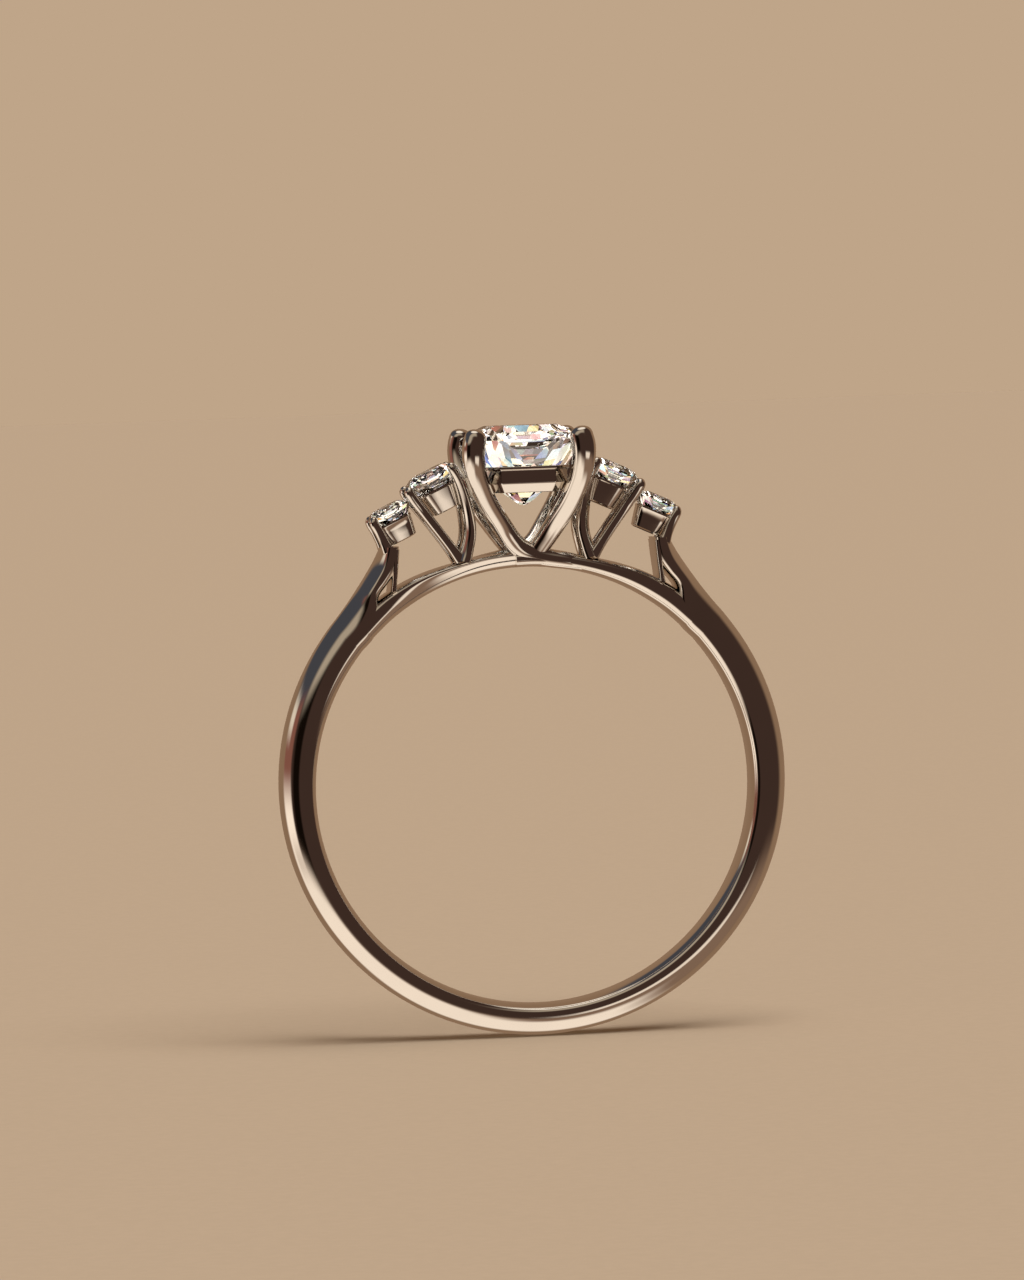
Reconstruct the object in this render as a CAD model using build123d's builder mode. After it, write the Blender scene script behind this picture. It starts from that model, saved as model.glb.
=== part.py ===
"""Five-stone crossover engagement ring, in millimetres.

+X runs along the row of stones, +Y along the finger, +Z from the finger up to the centre
stone. The origin is the centre of the finger bore. Every piece is a separate solid that
meets its neighbours face to face, as the soldered pieces of a bench-made ring do.
"""

from build123d import *
from math import acos, atan, cos, degrees, radians, sin, sqrt
import os

os.makedirs("parts", exist_ok=True)

# ---------------------------------------------------------------- driving dimensions

# Band
BORE_RADIUS = 8.25          # finger size, 16.5 mm inside
BAND_WIDTH = 2.0            # along the finger
OUTER_RADIUS = 9.65         # outside circle of the shank
OUTER_LIFT = 0.19           # that circle's centre stands this far above the bore's
DOME_ROUND = 0.6            # rounding of the outside edges
COMFORT_ROUND = 0.15        # rounding of the inside edges
SHANK_END = 40.0            # degrees above +X where the shank is soldered to a shoulder
SPLIT_ANGLE = 51.0          # degrees above +X where the shoulder divides

# Shoulder: rail, strut and the small window between them, as points in X and Z
RAIL_OUTSIDE = [(6.90, 6.99), (6.38, 7.72), (5.88, 8.48)]
RAIL_TOP = (5.50, 9.18)
RAIL_TOP_HEADING = (-0.45, 0.9)
STRUT_TOP = (4.78, 9.22)
STRUT_FOOT = (4.96, 7.70)
WINDOW_FOOT = (5.20, 7.57)
WINDOW_TOP = (5.16, 8.05)
WINDOW_TIP = (5.80, 7.16)
SHOULDER_ROUND = 0.5

# Bridge: the inner rail that follows the finger up to the crossing
BRIDGE_MID = (2.45, 8.55)
BRIDGE_END = (0.25, 8.80)

# Centre stone, a cut-corner rectangle standing level
CENTRE_WIDTH = 4.3
CENTRE_LENGTH = 5.2
CENTRE_CORNER = 0.75
CENTRE_GIRDLE = 13.0        # height of the girdle above the bore's centre
CENTRE_CROWN = 0.6
CENTRE_PAVILION = 2.4

# Side stones, cut-corner squares that lean outwards
LEAN = 25.0                 # degrees
INNER_GIRDLE = (3.47, 11.73)
INNER_WIDTH = 2.0
INNER_CORNER = 0.35
INNER_CROWN = 0.30
INNER_PAVILION = 0.95
OUTER_GIRDLE = (5.11, 10.50)
OUTER_WIDTH = 1.64
OUTER_CORNER = 0.30
OUTER_CROWN = 0.25
OUTER_PAVILION = 0.80
GIRDLE_THICKNESS = 0.06

# Tiers of facets: share of the girdle's reach at which a facet's plane is fixed, share of the
# crown's height or of the pavilion's depth there, and its slope. The slope is in degrees on
# the crown, and a multiple of the straight line from girdle to point on the pavilion.
CROWN_TIERS = ((1.0, 0.0, 43), (0.84, 0.55, 30))
PAVILION_TIERS = ((1.0, 0.0, 1.75), (0.76, 0.40, 1.02), (0.30, 0.80, 0.70))

# Collets: tapered tubes under the stones, heights measured down from each girdle
WALL = 0.22
CENTRE_COLLET_CORNER = 0.55
SIDE_COLLET_CORNER = 0.12
CENTRE_COLLET = dict(top=0.95, bottom=1.90, top_half=(1.60, 2.10), bottom_half=(1.42, 1.86))
INNER_COLLET = dict(top=0.42, bottom=1.41, top_half=(0.68, 0.68), bottom_half=(0.52, 0.52))
OUTER_COLLET = dict(top=0.34, bottom=1.17, top_half=(0.60, 0.60), bottom_half=(0.50, 0.50))

# Claws: centre lines as (X, Y, Z) points from the foot to the tip
CROSSOVER_LINE = [
    (2.60, -0.50, 8.17), (1.55, -0.50, 8.43), (0.64, -0.50, 8.60), (-0.18, -0.55, 9.05),
    (-0.93, -0.95, 9.90), (-1.55, -1.45, 10.80), (-1.93, -1.86, 11.70),
    (-2.03, -2.12, 12.40), (-1.98, -2.34, 13.04),
]
CROSSOVER_SECTION = [
    (0.56, 1.00), (0.58, 1.00), (0.64, 1.00), (0.72, 0.90),
    (0.74, 0.80), (0.74, 0.78), (0.76, 0.78), (0.78, 0.78), (0.74, 0.74),
]
STOPPED_LINE = [
    (0.45, -0.50, 8.85), (1.08, -0.92, 9.85), (1.62, -1.42, 10.75), (1.93, -1.84, 11.65),
    (2.03, -2.12, 12.40), (1.98, -2.34, 13.04),
]
STOPPED_SECTION = [
    (0.68, 0.80), (0.72, 0.80), (0.74, 0.78), (0.76, 0.78), (0.78, 0.78), (0.74, 0.74),
]
INNER_CLAW_LINE = [
    (2.40, -0.72, 8.62), (2.17, -0.70, 9.70), (2.26, -0.72, 10.60), (2.45, -0.80, 11.45),
    (2.72, -0.84, 12.08),
]
INNER_CLAW_SECTION = [(0.46, 0.40), (0.43, 0.36), (0.42, 0.36), (0.42, 0.38), (0.40, 0.40)]
SHARED_CLAW_LINE = [
    (2.52, -0.70, 8.62), (3.20, -0.70, 9.58), (3.76, -0.72, 10.34), (4.16, -0.80, 10.88),
    (4.35, -0.84, 11.24),
]
SHARED_CLAW_SECTION = [(0.42, 0.40), (0.38, 0.36), (0.38, 0.36), (0.40, 0.38), (0.40, 0.40)]
OUTER_CLAW_LINE = [
    (5.30, -0.66, 9.10), (5.44, -0.66, 9.50), (5.60, -0.70, 9.88), (5.72, -0.72, 10.18),
]
OUTER_CLAW_SECTION = [(0.46, 0.44), (0.40, 0.38), (0.38, 0.36), (0.38, 0.38)]
CLAW_ROUND = 0.42           # corner radius of a claw's section, as a share of its narrow side
TIP_ROUND = 0.47            # radius of its domed tip, as a share of the last section

FAR = 30.0                  # larger than the ring, for cutting tools


# ---------------------------------------------------------------- frames and helpers

def polar(radius, angle):
    """Point in X and Z at an angle above +X."""
    return (radius * cos(radians(angle)), radius * sin(radians(angle)))


def reach(angle):
    """Distance from the bore's centre to the shank's outside at an angle above +X."""
    across = OUTER_LIFT * cos(radians(angle))
    return OUTER_LIFT * sin(radians(angle)) + sqrt(OUTER_RADIUS**2 - across**2)


def seat_plane(girdle, lean):
    """Plane of a stone's girdle: local X runs outwards, local Z through the table."""
    x, z = girdle
    return Plane(
        origin=(x, 0, z),
        x_dir=(cos(radians(lean)), 0, -sin(radians(lean))),
        z_dir=(sin(radians(lean)), 0, cos(radians(lean))),
    )


CENTRE_SEAT = seat_plane((0, CENTRE_GIRDLE), 0)
INNER_SEAT = seat_plane(INNER_GIRDLE, LEAN)
OUTER_SEAT = seat_plane(OUTER_GIRDLE, LEAN)


def facet(seat, turn, half, height, slope):
    """Plane of one facet of a stone, facing outwards.

    turn is the facet's direction round the stone, half its distance from the stone's axis
    at that height, and slope its angle to the girdle: above 0 on the crown, below on the
    pavilion.
    """
    t, s = radians(turn), radians(abs(slope))
    normal = (sin(s) * cos(t), sin(s) * sin(t), cos(s) if slope > 0 else -cos(s))
    point = (half * cos(t), half * sin(t), height)
    return Plane(seat * Plane(origin=point, z_dir=normal))


def cut_stone(seat, width, length, corner, crown, pavilion):
    """A faceted stone: crown in two tiers, thin girdle, pavilion in three tiers."""
    half_x, half_y = width / 2, length / 2
    diagonal = (half_x + half_y - corner) / sqrt(2)
    sides = [(0, half_x), (90, half_y), (180, half_x), (270, half_y)]
    sides += [(turn, diagonal) for turn in (45, 135, 225, 315)]
    low = -GIRDLE_THICKNESS / 2
    with BuildPart(seat) as stone:
        with Locations((0, 0, (crown - pavilion) / 2)):
            Box(width, length, crown + pavilion)
        for turn, half in sides:
            split(bisect_by=facet(seat, turn, half, 0, 90), keep=Keep.BOTTOM)
            for share, rise, slope in CROWN_TIERS:
                height = max(-low, rise * crown)
                split(bisect_by=facet(seat, turn, half * share, height, slope), keep=Keep.BOTTOM)
            steep = pavilion / half
            for share, drop, slope in PAVILION_TIERS:
                angle = -degrees(atan(slope * steep))
                height = low - drop * (pavilion + low)
                split(bisect_by=facet(seat, turn, half * share, height, angle), keep=Keep.BOTTOM)
    return stone


def cut_corner_rectangle(half_x, half_y, corner):
    """Sketch of a rectangle with its four corners cut off."""
    with BuildSketch(mode=Mode.PRIVATE) as outline:
        Rectangle(2 * half_x, 2 * half_y)
        chamfer(outline.vertices(), corner)
    return outline.sketch


def collet(seat, size, corner, cutters):
    """A tapered tube under a stone, cut to the stone's own shape where the stone sits."""
    with BuildPart() as tube:
        for wall, mode in ((0.0, Mode.ADD), (WALL, Mode.SUBTRACT)):
            for height, half in ((size["top"], size["top_half"]), (size["bottom"], size["bottom_half"])):
                with BuildSketch(seat.offset(-height)):
                    add(cut_corner_rectangle(half[0] - wall, half[1] - wall, corner))
            loft(mode=mode)
        for cutter in cutters:
            add(cutter, mode=Mode.SUBTRACT)
    return tube


def claw(line, section, behind, cutters):
    """A tapering bent wire with a domed tip, trimmed where it meets other pieces."""
    side = -1 if behind else 1
    points = [(x, side * y, z) for x, y, z in line]
    with BuildPart() as wire:
        with BuildLine(mode=Mode.PRIVATE) as centre:
            Spline(*points)
        edge = centre.edge()
        for point, (wide, deep) in zip(points, section):
            along = edge.tangent_at(edge.param_at_point(point))
            across = Vector(0, 1, 0).cross(along).normalized()
            with BuildSketch(Plane(origin=point, x_dir=across, z_dir=along)):
                RectangleRounded(wide, deep, CLAW_ROUND * min(wide, deep))
        loft()
        with Locations(points[-1]):
            Sphere(TIP_ROUND * min(section[-1]))
        for cutter in cutters:
            add(cutter, mode=Mode.SUBTRACT)
    return wire


def opposite(piece):
    """The same piece on the other side of the ring, half a turn round Z."""
    with BuildPart() as turned:
        add(piece.part, rotation=(0, 0, 180))
    return turned


def keep(piece, name):
    """Label a finished piece and write it to its own file."""
    piece.part.label = name
    export_step(piece.part, f"parts/{name}.step")
    print(f"{name}: {piece.part.volume:.3f} mm3, {len(piece.part.solids())} solid")


# ---------------------------------------------------------------- stones

centre_diamond = cut_stone(
    CENTRE_SEAT, CENTRE_WIDTH, CENTRE_LENGTH, CENTRE_CORNER, CENTRE_CROWN, CENTRE_PAVILION
)
inner_diamond_right = cut_stone(
    INNER_SEAT, INNER_WIDTH, INNER_WIDTH, INNER_CORNER, INNER_CROWN, INNER_PAVILION
)
outer_diamond_right = cut_stone(
    OUTER_SEAT, OUTER_WIDTH, OUTER_WIDTH, OUTER_CORNER, OUTER_CROWN, OUTER_PAVILION
)

# ---------------------------------------------------------------- band and shoulders

with BuildPart() as shank:
    with BuildSketch(Plane.XZ):
        with Locations((0, OUTER_LIFT)):
            Circle(OUTER_RADIUS)
        Circle(BORE_RADIUS, mode=Mode.SUBTRACT)
    extrude(amount=BAND_WIDTH / 2, both=True)
    rims = shank.edges().filter_by(GeomType.CIRCLE).sort_by(SortBy.RADIUS)
    fillet(rims[:2], COMFORT_ROUND)
    rims = shank.edges().filter_by(GeomType.CIRCLE).sort_by(SortBy.RADIUS)
    fillet(rims[-2:], DOME_ROUND)
    with BuildSketch(Plane.XZ):
        with BuildLine():
            Polyline((0, 0), polar(FAR, SHANK_END), (0, FAR), polar(FAR, 180 - SHANK_END), close=True)
        make_face()
    extrude(amount=FAR, both=True, mode=Mode.SUBTRACT)

with BuildPart() as shoulder_right:
    with BuildSketch(Plane.XZ):
        with BuildLine():
            start = polar(reach(SHANK_END), SHANK_END)
            heading = (-sin(radians(SHANK_END)), cos(radians(SHANK_END)))
            Spline(start, *RAIL_OUTSIDE, RAIL_TOP, tangents=(heading, RAIL_TOP_HEADING))
            Polyline(RAIL_TOP, STRUT_TOP, STRUT_FOOT, WINDOW_FOOT, WINDOW_TOP, WINDOW_TIP)
            Line(WINDOW_TIP, polar(BORE_RADIUS, SPLIT_ANGLE))
            CenterArc((0, 0), BORE_RADIUS, SHANK_END, SPLIT_ANGLE - SHANK_END)
            Line(polar(BORE_RADIUS, SHANK_END), start)
        make_face()
    extrude(amount=BAND_WIDTH / 2, both=True)
    outside = shoulder_right.edges().filter_by(GeomType.BSPLINE)
    fillet(outside, SHOULDER_ROUND)

with BuildPart() as bridge_blank:
    with BuildSketch(Plane.XZ):
        with BuildLine():
            Spline(WINDOW_TIP, WINDOW_FOOT, STRUT_FOOT, BRIDGE_MID, BRIDGE_END)
            Line(BRIDGE_END, (BRIDGE_END[0], sqrt(BORE_RADIUS**2 - BRIDGE_END[0] ** 2)))
            finish = degrees(acos(BRIDGE_END[0] / BORE_RADIUS))
            CenterArc((0, 0), BORE_RADIUS, SPLIT_ANGLE, finish - SPLIT_ANGLE)
            Line(polar(BORE_RADIUS, SPLIT_ANGLE), WINDOW_TIP)
        make_face()
    extrude(amount=BAND_WIDTH / 2, both=True)

with BuildPart() as finger:
    with Locations(Rotation(90, 0, 0)):
        Cylinder(BORE_RADIUS, FAR)

# ---------------------------------------------------------------- claws of the centre stone

crossover_cuts = [centre_diamond.part, finger.part]
claw_front_left = claw(CROSSOVER_LINE, CROSSOVER_SECTION, False, crossover_cuts)
claw_back_right = opposite(claw_front_left)
crossovers = [claw_front_left.part, claw_back_right.part]

with BuildPart() as bridge_right:
    add(bridge_blank.part)
    for crossover in crossovers:
        add(crossover, mode=Mode.SUBTRACT)
bridge_left = opposite(bridge_right)
bridges = [bridge_right.part, bridge_left.part]

stopped_cuts = [centre_diamond.part, finger.part] + crossovers + bridges
claw_front_right = claw(STOPPED_LINE, STOPPED_SECTION, False, stopped_cuts)
claw_back_left = opposite(claw_front_right)
centre_claws = crossovers + [claw_front_right.part, claw_back_left.part]

# ---------------------------------------------------------------- claws of the side stones

side_stones = [inner_diamond_right.part, outer_diamond_right.part]
inner_claws, shared_claws, outer_claws = [], [], []
for behind in (False, True):
    cuts = side_stones + bridges + centre_claws
    inner_claws.append(claw(INNER_CLAW_LINE, INNER_CLAW_SECTION, behind, cuts))
    cuts = cuts + [inner_claws[-1].part]
    shared_claws.append(claw(SHARED_CLAW_LINE, SHARED_CLAW_SECTION, behind, cuts))
    cuts = side_stones + [shoulder_right.part]
    outer_claws.append(claw(OUTER_CLAW_LINE, OUTER_CLAW_SECTION, behind, cuts))

# ---------------------------------------------------------------- collets

centre_collet = collet(
    CENTRE_SEAT, CENTRE_COLLET, CENTRE_COLLET_CORNER, [centre_diamond.part] + centre_claws
)
inner_collet_right = collet(
    INNER_SEAT, INNER_COLLET, SIDE_COLLET_CORNER,
    side_stones + [c.part for c in inner_claws + shared_claws],
)
outer_collet_right = collet(
    OUTER_SEAT, OUTER_COLLET, SIDE_COLLET_CORNER,
    side_stones + [shoulder_right.part] + [c.part for c in outer_claws + shared_claws],
)

# ---------------------------------------------------------------- names and files

keep(shank, "shank")
keep(bridge_right, "bridge_right")
keep(bridge_left, "bridge_left")
keep(claw_front_left, "claw_front_left")
keep(claw_front_right, "claw_front_right")
keep(claw_back_left, "claw_back_left")
keep(claw_back_right, "claw_back_right")
keep(centre_collet, "centre_collet")
keep(centre_diamond, "centre_diamond")

paired = {
    "shoulder": shoulder_right,
    "inner_diamond": inner_diamond_right,
    "outer_diamond": outer_diamond_right,
    "inner_collet": inner_collet_right,
    "outer_collet": outer_collet_right,
}
for name, piece in paired.items():
    keep(piece, f"{name}_right")
    keep(opposite(piece), f"{name}_left")

rows = {"inner_claw": inner_claws, "shared_claw": shared_claws, "outer_claw": outer_claws}
for name, (front, back) in rows.items():
    keep(front, f"{name}_right_front")
    keep(back, f"{name}_right_back")
    keep(opposite(back), f"{name}_left_front")
    keep(opposite(front), f"{name}_left_back")
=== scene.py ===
import math

import bmesh
import bpy
from mathutils import Matrix, Quaternion, Vector


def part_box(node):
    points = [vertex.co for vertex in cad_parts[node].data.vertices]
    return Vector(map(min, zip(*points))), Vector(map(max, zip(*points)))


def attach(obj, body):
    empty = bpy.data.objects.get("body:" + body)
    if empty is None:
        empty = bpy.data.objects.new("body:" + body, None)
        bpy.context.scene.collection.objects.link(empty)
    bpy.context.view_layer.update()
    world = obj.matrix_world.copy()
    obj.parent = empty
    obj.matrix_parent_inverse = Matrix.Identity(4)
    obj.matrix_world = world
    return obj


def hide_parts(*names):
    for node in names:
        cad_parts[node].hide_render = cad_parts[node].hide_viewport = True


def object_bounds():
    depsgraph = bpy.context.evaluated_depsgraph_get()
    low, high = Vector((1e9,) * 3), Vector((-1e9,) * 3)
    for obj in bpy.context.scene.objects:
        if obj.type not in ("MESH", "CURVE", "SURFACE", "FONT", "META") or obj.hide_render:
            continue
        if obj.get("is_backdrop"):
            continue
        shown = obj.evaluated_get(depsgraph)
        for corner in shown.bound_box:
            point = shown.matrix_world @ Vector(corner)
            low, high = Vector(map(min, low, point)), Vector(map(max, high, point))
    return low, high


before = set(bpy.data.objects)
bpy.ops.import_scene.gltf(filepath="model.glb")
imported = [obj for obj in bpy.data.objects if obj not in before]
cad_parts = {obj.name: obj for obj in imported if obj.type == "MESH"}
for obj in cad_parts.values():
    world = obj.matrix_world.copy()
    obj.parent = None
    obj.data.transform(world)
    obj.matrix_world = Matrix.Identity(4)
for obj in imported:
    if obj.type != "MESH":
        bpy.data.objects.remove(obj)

bl_info = {
    "name": "Crossover Five-Stone Ring",
    "version": (1, 0, 0),
    "blender": (4, 5, 0),
    "location": "View3D > Sidebar > Ring",
    "description": "Builds a five-stone engagement ring with crossing claws, piece by piece",
    "category": "Add Mesh",
}

MM = 0.001                      # one millimetre in scene units
BODY = "root"


# ---------------------------------------------------------------- colours and sizes

def linear(code):
    """Linear RGBA from an sRGB hex colour."""
    channels = [int(code[i:i + 2], 16) / 255 for i in (1, 3, 5)]
    curve = [c / 12.92 if c <= 0.04045 else ((c + 0.055) / 1.055) ** 2.4 for c in channels]
    return (*curve, 1.0)


def corner_mm(name, end):
    """A CAD node's lowest (0) or highest (1) corner, in millimetres."""
    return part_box(name)[end] / MM


def colour(name, description, code):
    """A colour setting whose default is given as an sRGB hex value."""
    return bpy.props.FloatVectorProperty(
        name=name, description=description, subtype="COLOR", size=4, min=0, max=1,
        default=linear(code),
    )


def length(name, description, default):
    """A length setting, kept in millimetres as a jeweller gives it."""
    return bpy.props.FloatProperty(
        name=f"{name} (mm)", description=description, default=default, min=0.01, precision=3,
    )


class RingSizes(bpy.types.PropertyGroup):
    bore: length("Bore radius", "Finger size, as a radius", 8.25)
    outer: length("Outer radius", "Outside circle of the band", 9.65)
    lift: length("Outer lift", "How far the outside circle stands above the bore's centre", 0.19)
    width: length("Band width", "Width of the band along the finger", corner_mm("shank", 1).y * 2)
    stone_width: length("Centre stone width", "Across the finger", 4.3)
    stone_length: length("Centre stone length", "Along the finger", 5.2)


class RingFinishes(bpy.types.PropertyGroup):
    metal: colour("White gold", "Colour of the polished metal", "#E9E4DD")
    stone: colour("Diamond", "Body colour of the stones", "#FFFFFF")
    floor: colour("Floor", "Cloth under the ring", "#C9B399")


# ---------------------------------------------------------------- mesh tools

TIP_ANGLES = (25, 48, 68, 84)   # degrees up a rounded tip at which it has a section
SMOOTH_BELOW = 32.0             # degrees between two faces up to which their edge is shaded smooth


def smooth_line(stations, per_span):
    """Rows of numbers along a bar, filled in with a Catmull-Rom curve through all of them."""
    rows = [Vector(row) for row in stations]
    rows = [rows[0] * 2 - rows[1]] + rows + [rows[-1] * 2 - rows[-2]]
    filled = []
    for a, b, c, d in zip(rows, rows[1:], rows[2:], rows[3:]):
        for step in range(per_span):
            t = step / per_span
            bend = (a * 2 - b * 5 + c * 4 - d) * t**2 + (b * 3 - a - c * 3 + d) * t**3
            filled.append((b * 2 + (c - a) * t + bend) / 2)
    return filled + [rows[-2]]


def superellipse(turn, half_in, half_out, half_side, power_in, power_out, taper=0.0):
    """Point of a bar's section: x runs outwards, y to the side.

    taper is how far the section's far side slants in towards the inside, as a share of
    half its width.
    """
    c, s = math.cos(turn), math.sin(turn)
    power = power_in if c < 0 else power_out
    reach = half_in if c < 0 else half_out
    x = math.copysign(abs(c) ** (2 / power), c) * reach
    y = math.copysign(abs(s) ** (2 / power), s) * half_side
    slant = taper * (half_out - x) / (half_out + half_in) if s > 0 else 0
    return x, y * (1 - slant)


def start_loop(sides):
    """A bmesh with one round loop, and that loop's points.

    Each point keeps its turn round the loop and its number, which extruding the loop copies.
    """
    bm = bmesh.new()
    turn = bm.verts.layers.float.new("turn")
    order = bm.verts.layers.int.new("order")
    loop = bmesh.ops.create_circle(bm, cap_ends=False, segments=sides, radius=1)["verts"]
    for number, vert in enumerate(loop):
        vert[turn] = math.atan2(vert.co.y, vert.co.x)
        vert[order] = number
    return bm, loop


def carry_loop(bm, loop, edges, sections, place):
    """Extrudes a loop from section to section, and gives back the edges of the last one.

    place gives the position of a point from the point and its section.
    """
    for number, section in enumerate(sections):
        if number:
            grown = bmesh.ops.extrude_edge_only(bm, edges=edges)["geom"]
            loop = [g for g in grown if isinstance(g, bmesh.types.BMVert)]
            edges = [g for g in grown if isinstance(g, bmesh.types.BMEdge)]
        for vert in loop:
            vert.co = place(vert, section)
    return edges


def extrude_bar(sections, sides):
    """A closed bar: a loop carried from section to section and capped.

    Each section is its centre, its outward and sideways directions, and the numbers that
    superellipse takes. The rims of the two ends are creased and sharp, so that smoothing
    leaves them where they are and the caps stay flat.
    """
    bm, loop = start_loop(sides)
    crease = bm.edges.layers.float.new("crease_edge")
    turn = bm.verts.layers.float["turn"]
    first = list(bm.edges)
    bmesh.ops.contextual_create(bm, geom=first)

    def place(vert, section):
        centre, outward, sideways, shape = section
        x, y = superellipse(vert[turn], *shape)
        return centre + outward * x + sideways * y

    last = carry_loop(bm, loop, first, sections, place)
    for edge in first + last:
        edge[crease] = 1.0
        edge.smooth = False
    bmesh.ops.contextual_create(bm, geom=last)
    bmesh.ops.recalc_face_normals(bm, faces=bm.faces)
    return bm


def dome(sections, height):
    """The sections of a bar followed by those of a rounded tip.

    height is the tip's, as a share of the bar's smaller half size.
    """
    centre, outward, sideways, shape = sections[-1]
    along = outward.cross(sideways).normalized()
    if along.dot(centre - sections[-2][0]) < 0:
        along = -along
    reach = min(shape[0], shape[2]) * height
    tip = []
    for angle in TIP_ANGLES:
        grown, shrunk = math.sin(math.radians(angle)), math.cos(math.radians(angle))
        halves = tuple(size * shrunk for size in shape[:3])
        tip.append((centre + along * reach * grown, outward, sideways, halves + tuple(shape[3:])))
    return sections + tip


def wire_sections(line, roll=0.0, per_span=4):
    """Sections of a claw from rows of centre x, y, z, width, depth and squareness.

    roll turns its broad face from the front of the ring towards +X, in degrees.
    """
    rows = smooth_line(line, per_span)
    sections = []
    for number, row in enumerate(rows):
        before, after = rows[max(number - 1, 0)], rows[min(number + 1, len(rows) - 1)]
        along = Vector(after[:3]) - Vector(before[:3])
        across = Vector((0, 1, 0)).cross(along).normalized()
        across.rotate(Quaternion(along, math.radians(roll)))
        sideways = along.cross(across).normalized()
        half = row[3] / 2
        shape = (half, half, row[4] / 2, row[5], row[5])
        sections.append((Vector(row[:3]), across, sideways, shape))
    return sections


def plate_sections(line, per_span=4, near=-1.0, far=1.0):
    """Sections of a band or rail from rows of inner x, z, outer x, z, and its shape.

    near and far are the places of its two side faces along Y.
    """
    sections = []
    for row in smooth_line(line, per_span):
        inner, outer = Vector((row[0], 0, row[1])), Vector((row[2], 0, row[3]))
        flat = row[6]
        centre = inner.lerp(outer, flat) + Vector((0, (near + far) / 2, 0))
        thick = (outer - inner).length
        shape = (thick * flat, thick * (1 - flat), (far - near) / 2, row[4], row[5], row[7])
        sections.append((centre, (outer - inner).normalized(), Vector((0, 1, 0)), shape))
    return sections


def join(*parts):
    """One bmesh that holds several, which are freed."""
    whole = bmesh.new()
    for part in parts:
        scratch = bpy.data.meshes.new("scratch")
        part.to_mesh(scratch)
        part.free()
        whole.from_mesh(scratch)
        bpy.data.meshes.remove(scratch)
    return whole


def half_turn(bm):
    """The same shape on the other side of the ring, half a turn round Z."""
    turned = bm.copy()
    half = Matrix.Rotation(math.pi, 3, "Z")
    bmesh.ops.rotate(turned, cent=(0, 0, 0), matrix=half, verts=turned.verts)
    return turned


def swap_side(bm):
    """The mirror image front to back."""
    other = bm.copy()
    bmesh.ops.scale(other, vec=(1, -1, 1), verts=other.verts)
    bmesh.ops.recalc_face_normals(other, faces=other.faces)
    return other


def finish_piece(name, bm, material, node, levels=2, crisp=None):
    """Turns a bmesh in millimetres into a finished piece that stands for a CAD node.

    crisp is None for smooth shading, "edges" to keep its sharper edges, or "facets" for flat faces.
    """
    bmesh.ops.scale(bm, vec=(MM, MM, MM), verts=bm.verts)
    mesh = bpy.data.meshes.new(name)
    bm.to_mesh(mesh)
    bm.free()
    for key in ("turn", "order"):
        if key in mesh.attributes:
            mesh.attributes.remove(mesh.attributes[key])
    piece = bpy.data.objects.new(name, mesh)
    bpy.context.scene.collection.objects.link(piece)
    mesh.materials.append(material)
    mesh.polygons.foreach_set("use_smooth", [crisp != "facets"] * len(mesh.polygons))
    if crisp == "edges":
        mesh.set_sharp_from_angle(angle=math.radians(SMOOTH_BELOW))
    if levels:
        subdivision = piece.modifiers.new("Smooth", "SUBSURF")
        subdivision.levels = levels
        subdivision.render_levels = levels
    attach(piece, BODY)
    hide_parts(node)
    return piece


# ---------------------------------------------------------------- materials

def node(tree, kind, links=(), **settings):
    """Adds a shader node, sets its properties and sockets, and links other sockets into it."""
    made = tree.nodes.new(kind)
    for key, value in settings.items():
        if key.startswith("in_"):
            made.inputs[key[3:].replace("_", " ")].default_value = value
        else:
            setattr(made, key, value)
    for source, target in links:
        tree.links.new(source, made.inputs[target])
    return made


def fresh_material(name):
    """An empty node material and its tree, with an output."""
    material = bpy.data.materials.new(name)
    material.use_nodes = True
    material.node_tree.nodes.clear()
    return material, material.node_tree


def rhodium_plated_white_gold(finishes):
    """18 carat white gold, cast, mop polished and rhodium plated.

    The plating gives a bright, slightly warm grey mirror; the mop leaves hairline marks
    about a twentieth of a millimetre apart and faint waves about a millimetre long.
    """
    if "Rhodium_plated_white_gold" in bpy.data.materials:
        return bpy.data.materials["Rhodium_plated_white_gold"]
    material, tree = fresh_material("Rhodium_plated_white_gold")
    hairline_spacing, wave_length, wave_height = 0.05 * MM, 1.2 * MM, 0.02 * MM
    painted_wave_shade = 0.93           # painted shade: how much darker the metal is painted where the wave noise runs high
    place = node(tree, "ShaderNodeTexCoord").outputs["Object"]
    hairlines = node(tree, "ShaderNodeTexNoise", [(place, "Vector")],
                     in_Scale=1 / hairline_spacing, in_Detail=2.0, in_Roughness=0.6)
    waves = node(tree, "ShaderNodeTexNoise", [(place, "Vector")],
                 in_Scale=1 / wave_length, in_Detail=1.0)
    rough = node(tree, "ShaderNodeMapRange", [(hairlines.outputs["Fac"], "Value")],
                 in_From_Min=0.3, in_From_Max=0.8, in_To_Min=0.03, in_To_Max=0.10)
    # painted shade: the metal's colour is darkened along the faint waves
    colour_with_painted_shading = node(tree, "ShaderNodeMix", [(waves.outputs["Fac"], "Factor")], data_type="RGBA")
    colour_with_painted_shading.inputs[6].default_value = finishes.metal
    colour_with_painted_shading.inputs[7].default_value = [c * painted_wave_shade for c in finishes.metal[:3]] + [1.0]
    bump = node(tree, "ShaderNodeBump", [(waves.outputs["Fac"], "Height")],
                in_Strength=0.10, in_Distance=wave_height)
    shader = node(tree, "ShaderNodeBsdfPrincipled",
                  [(colour_with_painted_shading.outputs[2], "Base Color"), (rough.outputs["Result"], "Roughness"),
                   (bump.outputs["Normal"], "Normal")],
                  in_Metallic=1.0)
    node(tree, "ShaderNodeOutputMaterial", [(shader.outputs["BSDF"], "Surface")])
    return material


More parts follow.
